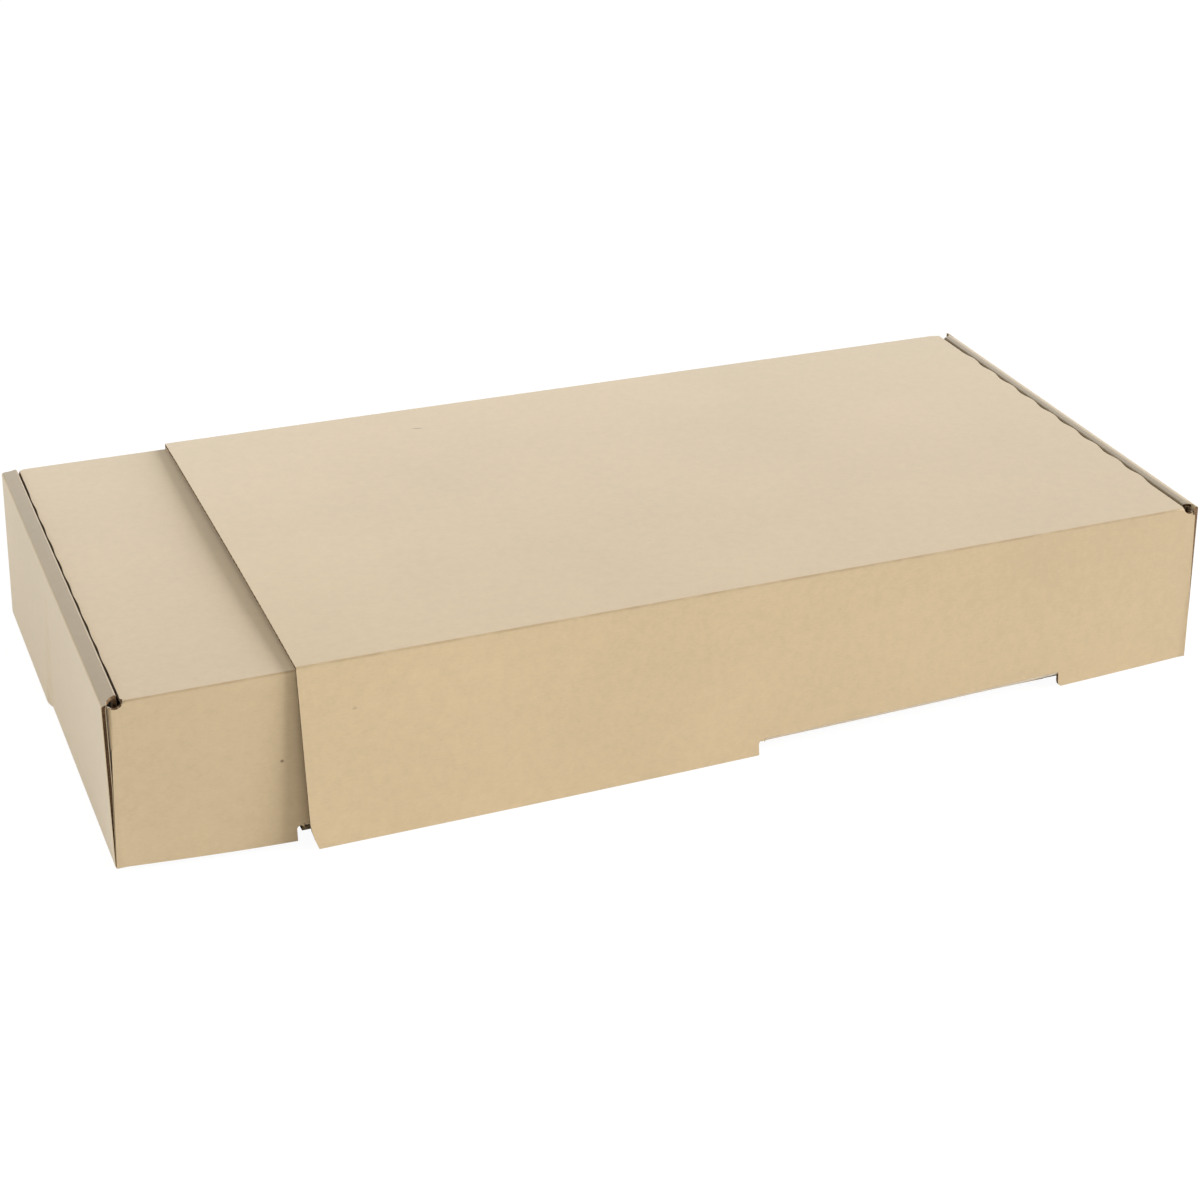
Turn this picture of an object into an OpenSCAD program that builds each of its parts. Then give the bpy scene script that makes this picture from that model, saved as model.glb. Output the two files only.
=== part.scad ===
// Closed corrugated carton of adjustable length. Two folded half cartons telescope:
// the outer half slides over the open end of the inner half, and each closed end has
// a roll-over end wall. Each half is one folded sheet of board.

/* [Carton] */
// Outside width of the outer half, front to back
carton_w = 340; // [300:5:420]
// Outside height of the outer half
carton_h = 108; // [80:1:150]
// Length of each half, from its closed end to its open end
half_l = 585; // [500:5:640]
// Length of the inner half that shows beside the outer half
exposed_l = 105; // [60:5:300]

/* [Board] */
// Thickness of the corrugated board
board_t = 2.5; // [2:0.1:3]
// Inside radius of a fold
fold_inner = 0.5; // [0.3:0.1:1]
// Outside radius of a crushed crease along a ridge
crease_r = 1.2; // [0.6:0.1:2]
// Clearance between the two halves on every side
slide_gap = 0.3; // [0.2:0.1:1]
// Clearance between two layers of board that lie against each other
layer_gap = 0.3; // [0.2:0.1:0.6]

/* [End walls] */
// Play of the ears between the two boards of the outer half's end wall
outer_play = 0.5; // [0.4:0.1:3]
// Play of the ears between the two boards of the inner half's end wall
inner_play = 2; // [0.4:0.1:3]
// Height of the end wall's ridge above the top panel
ridge_rise = 0.6; // [0.3:0.1:2]
// How much lower a ridge's outer crease is than its inner one
ridge_tilt = 0.7; // [0:0.1:1]
// Distance from the front and back faces to the roll-over board
roll_inset = 7; // [5:0.5:10]
// Gap between the free edges of a front ear and a back ear
ear_gap = 4; // [2:1:30]
// How much shorter an ear is at its lower edge
ear_taper = 26; // [0:1:40]
// Clearance under an ear
ear_foot = 3.2; // [3.1:0.1:8]
// How far the back ear of the inner half pushes its end wall out
end_bulge = 2.2; // [0:0.1:3]
// Width of a locking lug under the roll-over board
lug_w = 36; // [20:1:60]
// Clearance of a lug in its slot
slot_gap = 0.6; // [0.3:0.1:1.5]

/* [Top panel] */
// Distance from the outer half's ridge to the middle of the wave-cut edge
outer_panel_gap = 1.2; // [1:0.1:5]
// Distance from the inner half's ridge to the middle of the wave-cut edge
inner_panel_gap = 1.1; // [1:0.1:6]
// Distance between two waves of the cut edge
wave_pitch = 28.6; // [15:0.1:40]
// Height of a wave on either side of the middle line
wave_h = 0.6; // [0:0.1:0.8]
// Plain length at each end of the wave-cut edge
wave_plain = 34; // [20:1:60]
// Radius of the relief notch at the upper corners of a closed end
notch_r = 4.4; // [3:0.1:6]

/* [Front flap] */
// Clearance between the ground and the flap's low edge
flap_foot = 0.5; // [0.3:0.1:2]
// Length of the low tab beside the closed end
low_tab_l = 99; // [60:1:130]
// Length of the raised edge where the tuck tongue is folded in
raised_l = 212; // [150:1:260]
// Height of the raised edge above the underside
raised_h = 8; // [6:0.5:14]
// Radius of the relief cut at the end of the raised edge
relief_r = 2.1; // [1.5:0.1:3]
// Rounding of the outer half's low tab
tab_r = 3; // [1:0.5:5]
// Depth of the tuck tongue
tongue_l = 28; // [18:1:30]
// How far the outer flap's foot stands out at the open end
outer_flare = 15.3; // [14:0.1:20]
// How far the inner flap's foot bows out beside the closed end
inner_bow = 10.5; // [0:0.1:10.5]
// Distance from the front face to the base's free edge behind the flap
base_inset = 8.5; // [4:0.5:20]
// Height up to which the outer flap's corner covers the whole of the end wall's edge
outer_cover = 32; // [20:1:50]
// Height up to which the inner flap's corner reaches over the end wall's edge
inner_cover = 74; // [50:1:80]

/* [Hidden] */
$fn = 48;

// Sizes that follow from the ones above
fold_r = board_t + fold_inner;
step = board_t + slide_gap;
total_l = half_l + exposed_l;
inner_w = carton_w - 2 * step;
inner_h = carton_h - 2 * step;
origin_x = (total_l - end_bulge) / 2;
origin_y = (carton_w - outer_flare) / 2;
face_gap = board_t + layer_gap;
turn_r = board_t + layer_gap / 2;
corner_gap = 0.2;
cut_w = 0.05;
root_l = 1.5;
root_inset = 0.1;
wall_join = 5;
arc_steps = 6;
flap_step = 10;
bow_peak = 0.22;
flare_power = 2.6;
bow_power = 1.5;
bulge_blend = 7;
cover_top_x = 1.7;
cover_foot_x = 0.6;
kraft = [0.80, 0.71, 0.57];

function ridge_w(play) = 3 * board_t + play;
function ear_x(play) = board_t + play / 2;
function flap_start(play) = ear_x(play) + fold_r;
function rest(list) = [for (i = [1 : len(list) - 1]) list[i]];
function smooth(t) = let (c = max(0, min(1, t))) c * c * (3 - 2 * c);

// Share of a flap's length, from its closed end at 0 to its open end at 1
function share(x, x0) = max(0, min(1, (x - x0) / (half_l - x0)));

// How far a flap's foot stands out at x: a flare that grows to the open end, or a bow
function flare_at(s) = outer_flare * (1 - pow(1 - s, flare_power));
function bow_at(s) = s < bow_peak
    ? inner_bow * sin(90 * s / bow_peak)
    : inner_bow * pow(max(0, cos(90 * (s - bow_peak) / (1 - bow_peak))), bow_power);
function lean_at(x, x0, flared) = flared ? flare_at(share(x, x0)) : bow_at(share(x, x0));

// A point of a leaning flap at x, from its depth in the board and its height
function flap_point(x, depth, z, x0, h, flared) =
    let (crease = h - fold_r)
    [x, depth - lean_at(x, x0, flared) * max(0, crease - z) / (crease - flap_foot), z];

// Evenly spaced values from a to b, no further apart than a step
function grid(a, b, step_l) =
    let (n = ceil((b - a) / step_l)) [for (i = [0 : n]) a + (b - a) * i / n];

function arc(cx, cy, r, a0, a1) = [
    for (i = [0 : arc_steps])
        let (a = a0 + (a1 - a0) * i / arc_steps) [cx + r * cos(a), cy + r * sin(a)]
];

// Solid through a row of closed rings with the same number of points. The first half of
// a ring's points runs along one face of the board, and the second half back on the other.
module loft(rings) {
    m = len(rings[0]);
    last = len(rings) - 1;
    end = last * m;
    polyhedron(
        points = [for (ring = rings) for (p = ring) p],
        faces = concat(
            [for (k = [0 : last - 1]) for (j = [0 : m - 1])
                [k * m + j, (k + 1) * m + j, (k + 1) * m + (j + 1) % m]],
            [for (k = [0 : last - 1]) for (j = [0 : m - 1])
                [k * m + j, (k + 1) * m + (j + 1) % m, k * m + (j + 1) % m]],
            [for (j = [0 : m / 2 - 2]) [j, j + 1, m - 2 - j]],
            [for (j = [0 : m / 2 - 2]) [j, m - 2 - j, m - 1 - j]],
            [for (j = [0 : m / 2 - 2]) [end + j, end + m - 2 - j, end + j + 1]],
            [for (j = [0 : m / 2 - 2]) [end + j, end + m - 1 - j, end + m - 2 - j]]
        )
    );
}

// Prism along Y of an outline drawn in X and Z, from y1 to y2
module along_y(y1, y2) {
    translate([0, y2, 0]) rotate([90, 0, 0]) linear_extrude(y2 - y1) children();
}

// Prism along X of an outline drawn in Y and Z, from x1 to x2
module along_x(x1, x2) {
    translate([x1, 0, 0]) rotate([90, 0, 90]) linear_extrude(x2 - x1) children();
}

// Quarter of a rounded fold around the origin, in the quadrant of +X and +Y
module fold_2d() {
    intersection() {
        difference() {
            circle(fold_r);
            circle(fold_inner);
        }
        square(fold_r);
    }
}

// Tongue folded straight in over the base: each point is [depth, height]
function tongue_in(cut) = let (inner_r = fold_inner + root_inset) concat(
    [[root_inset, cut + root_l]],
    arc(fold_r, cut, fold_r - root_inset, 180, 270),
    [[tongue_l, cut - fold_r + root_inset], [tongue_l, cut - inner_r]],
    arc(fold_r, cut, inner_r, 270, 180),
    [[fold_r - inner_r, cut + root_l]]
);

// Tongue folded right up against the inside of the flap
function tongue_up(cut) = let (inner_r = layer_gap / 2 + root_inset) concat(
    [[root_inset, cut + root_l]],
    arc(turn_r, cut, turn_r - root_inset, 180, 360),
    [[2 * turn_r - root_inset, raised_h + tongue_l], [turn_r + inner_r, raised_h + tongue_l]],
    arc(turn_r, cut, inner_r, 360, 180),
    [[turn_r - inner_r, cut + root_l]]
);

// Height of the lower edge in the relief cut, and where the outer half's tab is rounded
function relief_z(x, middle) =
    raised_h - relief_r / 4 + sqrt(max(0, pow(relief_r, 2) - pow(x - middle, 2)));
function round_z(x) =
    flap_foot + tab_r - sqrt(pow(tab_r, 2) - pow(x - low_tab_l + tab_r, 2));

// Height of the flap's lower edge at x: low tab, relief cut, raised edge, low edge
function lower_z(x, cut, flared) = let (far = low_tab_l + raised_l) flared
    ? (x <= low_tab_l - tab_r ? flap_foot
        : x <= low_tab_l ? round_z(x)
        : x <= far - 2 * relief_r ? cut - corner_gap
        : x <= far ? relief_z(x, far - relief_r) : flap_foot)
    : (x <= low_tab_l ? flap_foot
        : x <= low_tab_l + 2 * relief_r ? relief_z(x, low_tab_l + relief_r)
        : x <= far ? cut - corner_gap : flap_foot);

// Front flap: low tab, relief cut, raised edge with its tongue, and low edge
module front_flap(h, play, flared) {
    x0 = flap_start(play);
    cut = raised_h + (flared ? turn_r : fold_r);
    far = low_tab_l + raised_l;
    relief_x = flared ? far - 2 * relief_r : low_tab_l;
    raised_x = flared ? low_tab_l : low_tab_l + 2 * relief_r;
    raised_end = flared ? far - 2 * relief_r : far;
    tab_end = low_tab_l - (flared ? tab_r : 0);
    tab_xs = concat(
        grid(x0, tab_end, flap_step),
        flared ? rest(grid(tab_end, low_tab_l, tab_r / 5)) : []
    );
    relief_xs = grid(relief_x + cut_w, relief_x + 2 * relief_r, relief_r / 4);
    raised_xs = grid(raised_x + cut_w, raised_end, flap_step);
    open_xs = grid(far + cut_w, half_l, flap_step);
    xs = concat(tab_xs, flared ? raised_xs : relief_xs,
        flared ? relief_xs : raised_xs, open_xs);

    loft([
        for (x = xs) let (low = lower_z(x, cut, flared), high = h - fold_r) [
            flap_point(x, 0, low, x0, h, flared),
            flap_point(x, board_t, low, x0, h, flared),
            flap_point(x, board_t, high, x0, h, flared),
            flap_point(x, 0, high, x0, h, flared)
        ]
    ]);
    loft([
        for (x = grid(raised_x + layer_gap, raised_end - layer_gap, flap_step))
            [for (p = flared ? tongue_up(cut) : tongue_in(cut))
                flap_point(x, p[0], p[1], x0, h, flared)]
    ]);
}

// Front side of a half: flap, fold to the top panel, and ear, cut away at the notch
module front_side(w, h, play, flared) {
    difference() {
        union() {
            front_flap(h, play, flared);
            long_fold(h, play);
            ear(w, h, play);
            flap_corner(h, play, flared);
        }
        corner_notch(h, play);
    }
}

// Back wall with its folds and ear, drawn as a front side and mirrored
module back_side(w, h, play) {
    translate([0, w, 0]) mirror([0, 1, 0]) difference() {
        union() {
            translate([flap_start(play), 0, fold_r])
                cube([half_l - flap_start(play), board_t, h - 2 * fold_r]);
            long_fold(h, play);
            ear(w, h, play);
            along_x(flap_start(play), half_l)
                translate([fold_r, fold_r]) mirror([1, 0]) mirror([0, 1]) fold_2d();
        }
        corner_notch(h, play);
    }
}

// Fold along the front or back edge of the top panel
module long_fold(h, play) {
    along_x(flap_start(play), half_l)
        translate([fold_r, h - fold_r]) mirror([1, 0]) fold_2d();
}

// Round relief notch at the upper corner of a closed end, in the front face
module corner_notch(h, play) {
    along_y(-1, fold_r + 1) translate([ridge_w(play) - notch_r / 2, h]) circle(notch_r);
}

// Vertical fold at a closed end's corner and the ear behind it, for the front side
module ear(w, h, play) {
    x0 = ear_x(play);
    long = w / 2 - ear_gap / 2;
    top = h - notch_r * 1.3;
    translate([x0 + fold_r, fold_r, flap_foot])
        mirror([1, 0, 0]) mirror([0, 1, 0]) linear_extrude(h - flap_foot) fold_2d();
    along_x(x0, x0 + board_t) polygon([
        [fold_r, ear_foot],
        [long - ear_taper, ear_foot],
        [long, top],
        [fold_r, top]
    ]);
}

// Slanted line at which a flap's corner meets the end wall's edge: two points of [x, z]
function cover_line(h, play, flared) = flared
    ? [[0, outer_cover], [cover_top_x, h - notch_r * 1.3]]
    : [[cover_foot_x, flap_foot], [ear_x(play), inner_cover]];

// Corner of a flap that reaches over the end wall's edge, moved inwards by the gap
module flap_corner(h, play, flared) {
    line = cover_line(h, play, flared);
    along_y(0, board_t) polygon([
        [flap_start(play), flap_foot],
        [line[0][0] + corner_gap, flap_foot],
        [line[0][0] + corner_gap, line[0][1] + corner_gap],
        [line[1][0] + corner_gap, line[1][1]],
        [flap_start(play), line[1][1]]
    ]);
}

// What the flap's corner takes away from the front edge of the end wall's outer board
module corner_room(h, play, flared) {
    line = cover_line(h, play, flared);
    along_y(-1, face_gap) polygon([
        [flared ? -1 : line[0][0], -1],
        [ear_x(play) + 1, -1],
        [ear_x(play) + 1, line[1][1] + corner_gap],
        [line[1][0], line[1][1] + corner_gap],
        [line[0][0], line[0][1]],
        [flared ? -1 : line[0][0], line[0][1]]
    ]);
}

// Base panel with the slots of the locking lugs
module base(w, play) {
    slot_x = ridge_w(play) - board_t - slot_gap;
    difference() {
        translate([fold_r, base_inset, 0])
            cube([half_l - fold_r, w - base_inset - fold_r, board_t]);
        for (y = [w / 4, w * 3 / 4])
            translate([slot_x, y - lug_w / 2 - slot_gap, -1])
                cube([board_t + 2 * slot_gap, lug_w + 2 * slot_gap, board_t + 2]);
    }
}

// Top panel with its wave-cut end edge
module top_panel(w, h, play, gap) {
    edge = ridge_w(play) + gap;
    waves = floor((w - 2 * wave_plain) / wave_pitch);
    start = (w - waves * wave_pitch) / 2;
    per_wave = 10;
    translate([0, 0, h - board_t]) linear_extrude(board_t) polygon(concat(
        [[half_l, fold_r], [half_l, w - fold_r], [edge + wave_h, w - fold_r]],
        [for (i = [waves * per_wave : -1 : 0])
            [edge + wave_h * cos(360 * i / per_wave), start + wave_pitch * i / per_wave]],
        [[edge + wave_h, fold_r]]
    ));
}

// Cross-section of the end wall's outer board: each point is [x, z, share of the bulge]
function end_profile(top) = concat(
    [for (p = arc(fold_r, fold_r, fold_inner, 270, 180)) [p[0], p[1], (fold_r - p[0]) / fold_inner]],
    [for (i = [1 : 5]) [board_t, fold_r + (top - fold_r) * i / 5, 1]],
    [for (i = [5 : -1 : 1]) [0, fold_r + (top - fold_r) * i / 5, 1]],
    [for (p = arc(fold_r, fold_r, fold_r, 180, 270)) [p[0], p[1], 1 - p[0] / fold_r]]
);

// Bulge of the end wall at y and z, behind the slanted free edge of the back ear
function bulge_at(y, z, w, top) =
    let (edge = w / 2 + ear_gap / 2 + ear_taper * (1 - z / top))
    smooth((y - edge) / bulge_blend) * (top - z) / top;

// End wall's outer board, rolled over the ears into the inner board with its lugs
module end_wall(w, h, play, bulge) {
    high = h + ridge_rise;
    low = high - wall_join;
    wide = ridge_w(play);
    blend_y = w / 2 + ear_gap / 2;
    blend_l = ear_taper + bulge_blend;
    steps = bulge > 0 ? 12 : 1;
    stations = concat(
        [w - corner_gap],
        [for (i = [steps : -1 : 0]) blend_y + blend_l * i / steps],
        [corner_gap]
    );
    difference() {
        loft([
            for (y = stations)
                [for (p = end_profile(low))
                    [p[0] - bulge * p[2] * bulge_at(y, p[1], w, low), y, p[1]]]
        ]);
        for (y = [-1, w - face_gap])
            translate([board_t + corner_gap, y, -1]) cube([wide, face_gap + 1, face_gap + 2]);
    }
    difference() {
        along_y(corner_gap, w - corner_gap) polygon(concat(
            [[0, low], [board_t, low], [board_t, high - ridge_tilt - board_t]],
            [[wide - board_t, high - board_t], [wide - board_t, low], [wide, low]],
            arc(wide - crease_r, high - crease_r, crease_r, 0, 90),
            arc(crease_r, high - ridge_tilt - crease_r, crease_r, 90, 180)
        ));
        ridge_corner(wide, low);
        translate([0, w, 0]) mirror([0, 1, 0]) ridge_corner(wide, low);
    }
    board_y = roll_inset + corner_gap;
    translate([wide - board_t, board_y, face_gap])
        cube([board_t, w - 2 * board_y, low - face_gap]);
    for (y = [w / 4, w * 3 / 4])
        translate([wide - board_t, y - lug_w / 2, corner_gap])
            cube([board_t, lug_w, face_gap + board_t]);
}

// What is cut away at the end of a ridge, where its corner is rounded off
module ridge_corner(wide, low) {
    translate([0, 0, low - 1]) linear_extrude(wall_join + 2) polygon(concat(
        [[wide + 1, -1], [wide + 1, roll_inset]],
        arc(wide, 0, roll_inset, 90, 157),
        [[board_t + layer_gap, -1]]
    ));
}

// One half of the carton, with its closed end at x = 0 and its open end at half_l
module half(w, h, play, gap, bulge, flared) {
    base(w, play);
    top_panel(w, h, play, gap);
    front_side(w, h, play, flared);
    back_side(w, h, play);
    difference() {
        end_wall(w, h, play, bulge);
        corner_room(h, play, flared);
    }
}

module outer_half() {
    color(kraft)
        translate([total_l - origin_x, -origin_y, 0]) mirror([1, 0, 0])
            half(carton_w, carton_h, outer_play, outer_panel_gap, 0, true);
}

module inner_half() {
    color(kraft * 0.96)
        translate([-origin_x, step - origin_y, step])
            half(inner_w, inner_h, inner_play, inner_panel_gap, end_bulge, false);
}

outer_half();
inner_half();
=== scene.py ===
"""Looks of a closed corrugated carton of adjustable length, built around its CAD frame."""

import math
from typing import NamedTuple

import bmesh
import bpy
import numpy as np
from mathutils import Matrix, Vector
from mathutils.bvhtree import BVHTree


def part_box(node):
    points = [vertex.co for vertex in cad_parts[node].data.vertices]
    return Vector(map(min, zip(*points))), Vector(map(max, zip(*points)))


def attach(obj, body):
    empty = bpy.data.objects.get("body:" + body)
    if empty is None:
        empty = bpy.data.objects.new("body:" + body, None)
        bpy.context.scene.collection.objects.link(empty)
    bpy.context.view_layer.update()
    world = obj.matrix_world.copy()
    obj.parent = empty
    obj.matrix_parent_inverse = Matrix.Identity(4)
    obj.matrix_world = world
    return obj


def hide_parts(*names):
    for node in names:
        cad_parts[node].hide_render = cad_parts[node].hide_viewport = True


bl_info = {
    "name": "Adjustable Carton",
    "version": (1, 0, 0),
    "blender": (4, 5, 0),
    "location": "View3D > Sidebar > Carton",
    "description": "Two telescoping half cartons of kraft board with their stage",
    "category": "Object",
}

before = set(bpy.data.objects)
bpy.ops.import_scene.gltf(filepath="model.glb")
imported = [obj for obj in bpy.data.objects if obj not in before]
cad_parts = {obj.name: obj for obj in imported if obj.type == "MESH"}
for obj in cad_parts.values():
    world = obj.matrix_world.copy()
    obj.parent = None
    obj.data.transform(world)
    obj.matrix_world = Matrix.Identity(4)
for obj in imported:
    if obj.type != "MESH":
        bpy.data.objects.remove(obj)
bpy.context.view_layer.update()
OUTER_LOW, OUTER_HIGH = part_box("outer_half")
INNER_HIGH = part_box("inner_half")[1]

MM = 0.001

# Sizes of the CAD that the looks follow
BOARD = 2.5 * MM  # thickness of the board
FOLD = 3 * MM  # outside radius of a fold
STEP = 2.8 * MM  # how far the inner half stays inside the outer one's outside
DEPTH = 340 * MM  # outside, from front fold to back
HEIGHT = 108 * MM
EXPOSED = 105 * MM  # length of the inner half that stands out of the outer one
RAISED = 8 * MM  # from the base's underside up to the front flap's raised edge
BASE_INSET = 8.5 * MM  # from the front fold to where the base's open edge begins
NOTCH_SHIFT = 2.2 * MM  # from the ridge's fold out to the middle of the round notch
WAVE = 0.6 * MM  # how far the wavy edge swings to either side

# Folds and edges as they look
CREASE = 0.9 * MM  # half width of a worn fold line
ON_FOLD = 0.12 * MM  # points this near a fold's round are on it
NOTCH_CLEAR = 4.8 * MM  # round the notch, folds stay as the CAD has them
LIFT_REACH = 70 * MM  # how far in from its free edge the top is lifted
LIFT_FADE = (7 * MM, 3 * MM)  # depths below the top where the lift starts and is full
CORNER = 16 * MM  # height of the slanted low corner of the outer half's front flap
CORNER_SLANT = 4 * MM  # how far back it slants at the floor
CORNER_CURVE = 1.6
CORNER_SHARES = (0.3, 0.65, 1)  # heights in it where the mesh has a line
ON_WAVE = 0.75 * MM  # points this near the middle line of a wavy edge are on it
OUTER_WAVES, INNER_WAVES = 1.5, 0.4  # how deep the wavy edges look beside the CAD's

# Ridges, with places across them as shares from 0 at the end to 1
RIDGE_FADE = (4.4 * MM, 1 * MM)  # depths below the top where a change starts and is full
RIDGE_PAST = 1.02
RIDGE_DROP = 1.1 * MM  # how far the outer half's ridge slopes down from RIDGE_LEVEL on
RIDGE_LEVEL = 0.42
RIDGE_SHARES = (0.3, RIDGE_LEVEL, 0.6, 0.8)  # where the outer half's mesh has a line
RIDGE_SINK, RIDGE_TILT = 0.9 * MM, 1.3 * MM  # the inner half's, down at the end, then up
SLOT_FAR, SLOT_IN = 7.05 * MM, 2.9 * MM  # its slot, from the back and from the end
SLOT_SHARE = 0.25  # how much of that slot's width is left
OUTER_RIDGE_SHADE = (0.5, 0.1, 0.6)  # strength of a ridge's painted shade, where it starts, its width
INNER_RIDGE_SHADE = (0.34, 0.0, 0.12)

# How the mesh is made
TOP_BAND = 6 * MM  # faces this near the top get the grid's lines
JUST_INSIDE = 1e-5
NEAR = 0.1 * MM
THROUGH_BOARD = (1.8 * MM, 3.1 * MM)  # a face with this much board behind it is liner
NARROW_EDGE, WIDE_EDGE = 1.6 * MM, 2.7 * MM  # cut edges between these are opened
SAME_EDGE = 0.82  # cosine of the 35 degrees that a cut edge may bend from face to face
FACING = 0.9  # least part of a normal along an axis for a face that looks that way
FRONT_CALM = 0.2  # share of the front flap's sideways slopes that shading keeps
FLUTE_START = 0.2 * MM  # how far behind the cut edge the fluted paper begins
GUIDE_STEP, GUIDE_CLEAR = 12 * MM, 0.4 * MM

# Darker, cooler copy of the kraft colour for the inner half: painted shade where the lamps light
# it more than the outer half
INNER_SHADE_TINT = (0.955, 0.955, 0.965)


class Half(NamedTuple):
    """Where one half's panels, ridge and ears are; inward is 1 if its inside is at +X."""

    name: str
    front: float
    back: float
    low: float
    top: float
    end_x: float
    open_x: float
    inward: int
    ridge: float
    gap: float
    ear: float

    @property
    def ridge_x(self):
        """Fold at the ridge's inner side, a ridge's width in from the end."""
        return self.end_x + self.inward * self.ridge

    @property
    def wave_x(self):
        """Middle line of the top panel's wavy edge, a gap further in."""
        return self.ridge_x + self.inward * self.gap


OUTER = Half(
    name="outer_half", front=OUTER_HIGH.y - DEPTH, back=OUTER_HIGH.y, low=0.0, top=HEIGHT,
    end_x=OUTER_HIGH.x, open_x=OUTER_LOW.x, inward=-1,
    ridge=8 * MM, gap=1.2 * MM, ear=2.75 * MM,
)
INNER = Half(
    name="inner_half", front=OUTER.front + STEP, back=OUTER.back - STEP, low=STEP,
    top=HEIGHT - STEP, end_x=OUTER.open_x - EXPOSED, open_x=INNER_HIGH.x, inward=1,
    ridge=9.5 * MM, gap=1.1 * MM, ear=3.5 * MM,
)
FLARE = OUTER.front - OUTER_LOW.y  # how far the outer half's front flap leans out below


class Spot(NamedTuple):
    """Dark spot in the paper, turned about Z and as wide as its radii along X, Y and Z."""

    centre: tuple
    turn: float
    radii: tuple
    strength: float


OUTER_SPOTS = (
    Spot((-0.0781, 0.1418, 0.108), 0.35, (3.6 * MM, 0.7 * MM, 6 * MM), 0.85),
    Spot((-0.2083, -0.1662, 0.0787), 0.0, (1.6 * MM, 6 * MM, 1.0 * MM), 0.25),
)
INNER_SPOTS = (Spot((-0.2501, -0.1642, 0.0531), 0.0, (1.1 * MM, 6 * MM, 1.0 * MM), 0.8),)


class CartonBoard(bpy.types.PropertyGroup):
    """Sizes of the board's visible make"""

    liner: bpy.props.FloatProperty(
        name="Liner",
        description="Thickness of the paper on either side of the flutes",
        default=0.38 * MM, min=0.1 * MM, max=0.8 * MM, subtype="DISTANCE", unit="LENGTH",
    )
    channel: bpy.props.FloatProperty(
        name="Flute depth",
        description="How deep one sees between the liners at a cut edge",
        default=1.6 * MM, min=0.2 * MM, max=3 * MM, subtype="DISTANCE", unit="LENGTH",
    )
    flute_pitch: bpy.props.FloatProperty(
        name="Flute pitch",
        description="Distance between two flutes",
        default=6.4 * MM, min=3 * MM, max=9 * MM, subtype="DISTANCE", unit="LENGTH",
    )
    medium: bpy.props.FloatProperty(
        name="Medium",
        description="Thickness of the fluted paper",
        default=0.3 * MM, min=0.1 * MM, max=0.5 * MM, subtype="DISTANCE", unit="LENGTH",
    )
    fold: bpy.props.FloatProperty(
        name="Fold radius",
        description="Outside radius of a scored fold as it looks",
        default=1.1 * MM, min=0.4 * MM, max=2.5 * MM, subtype="DISTANCE", unit="LENGTH",
    )
    lift: bpy.props.FloatProperty(
        name="Edge lift",
        description="How far the outer half's free top edge lifts in the middle",
        default=1.6 * MM, min=0, max=4 * MM, subtype="DISTANCE", unit="LENGTH",
    )
    grid: bpy.props.FloatProperty(
        name="Mesh grid",
        description="Distance between two lines of the board's mesh",
        default=16 * MM, min=5 * MM, max=40 * MM, subtype="DISTANCE", unit="LENGTH",
    )


class CartonColours(bpy.types.PropertyGroup):
    """Colours of the paper and the stage"""

    kraft: bpy.props.FloatVectorProperty(
        name="Kraft", description="Colour of the outside liner",
        default=(0.60, 0.466, 0.284), size=3, min=0, max=1, subtype="COLOR",
    )
    crease: bpy.props.FloatVectorProperty(
        name="Crease", description="Colour of the paper where it is folded",
        default=(0.34, 0.22, 0.11), size=3, min=0, max=1, subtype="COLOR",
    )
    # Raw paper made darker as painted shade of the hollow flutes between the liners
    core: bpy.props.FloatVectorProperty(
        name="Core", description="Colour between the liners at a cut edge",
        default=(0.23, 0.145, 0.082), size=3, min=0, max=1, subtype="COLOR",
    )
    medium: bpy.props.FloatVectorProperty(
        name="Medium", description="Colour of the fluted paper",
        default=(0.40, 0.28, 0.165), size=3, min=0, max=1, subtype="COLOR",
    )
    speck: bpy.props.FloatVectorProperty(
        name="Speck", description="Colour of the dark specks and fibres in the paper",
        default=(0.16, 0.09, 0.045), size=3, min=0, max=1, subtype="COLOR",
    )
    ground: bpy.props.FloatVectorProperty(
        name="Ground", description="Colour of the floor and the background",
        default=(1.0, 1.0, 1.0), size=3, min=0, max=1, subtype="COLOR",
    )


# Materials

def feed(tree, socket, value):
    """Link a socket to another one, or give it a plain value; a colour has three parts."""
    if isinstance(value, bpy.types.NodeSocket):
        tree.links.new(value, socket)
    elif socket.type == "RGBA":
        socket.default_value = (*value, 1.0)
    else:
        socket.default_value = value


def add_node(tree, kind, inputs=None, **settings):
    """New node with its settings, and its inputs fed with sockets or plain values."""
    node = tree.nodes.new(kind)
    for key, value in settings.items():
        setattr(node, key, value)
    for key, value in (inputs or {}).items():
        feed(tree, node.inputs[key], value)
    return node


def socket_group(name, inputs, outputs):
    """New shader node group with named sockets, and its input and output nodes."""
    group = bpy.data.node_groups.new(name, "ShaderNodeTree")
    for label, kind, value in inputs:
        socket = group.interface.new_socket(name=label, in_out="INPUT", socket_type=kind)
        socket.default_value = value
    for label in outputs:
        group.interface.new_socket(name=label, in_out="OUTPUT", socket_type="NodeSocketFloat")
    return group, add_node(group, "NodeGroupInput"), add_node(group, "NodeGroupOutput")


def noise(tree, vector, scale, detail, rough=0.5):
    return add_node(tree, "ShaderNodeTexNoise", {
        "Vector": vector, "Scale": scale, "Detail": detail, "Roughness": rough,
    }).outputs["Fac"]


def maths(tree, operation, a, b=0.0):
    return add_node(tree, "ShaderNodeMath", {0: a, 1: b}, operation=operation).outputs[0]


def stretched(tree, vector, scale):
    inputs = {"Vector": vector, "Scale": scale}
    return add_node(tree, "ShaderNodeMapping", inputs).outputs["Vector"]


def ramp(tree, value, low, high):
    """Smooth step of a value from low to high."""
    inputs = {"Value": value, "From Min": low, "From Max": high}
    return add_node(tree, "ShaderNodeMapRange", inputs,
                    interpolation_type="SMOOTHSTEP").outputs["Result"]


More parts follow.
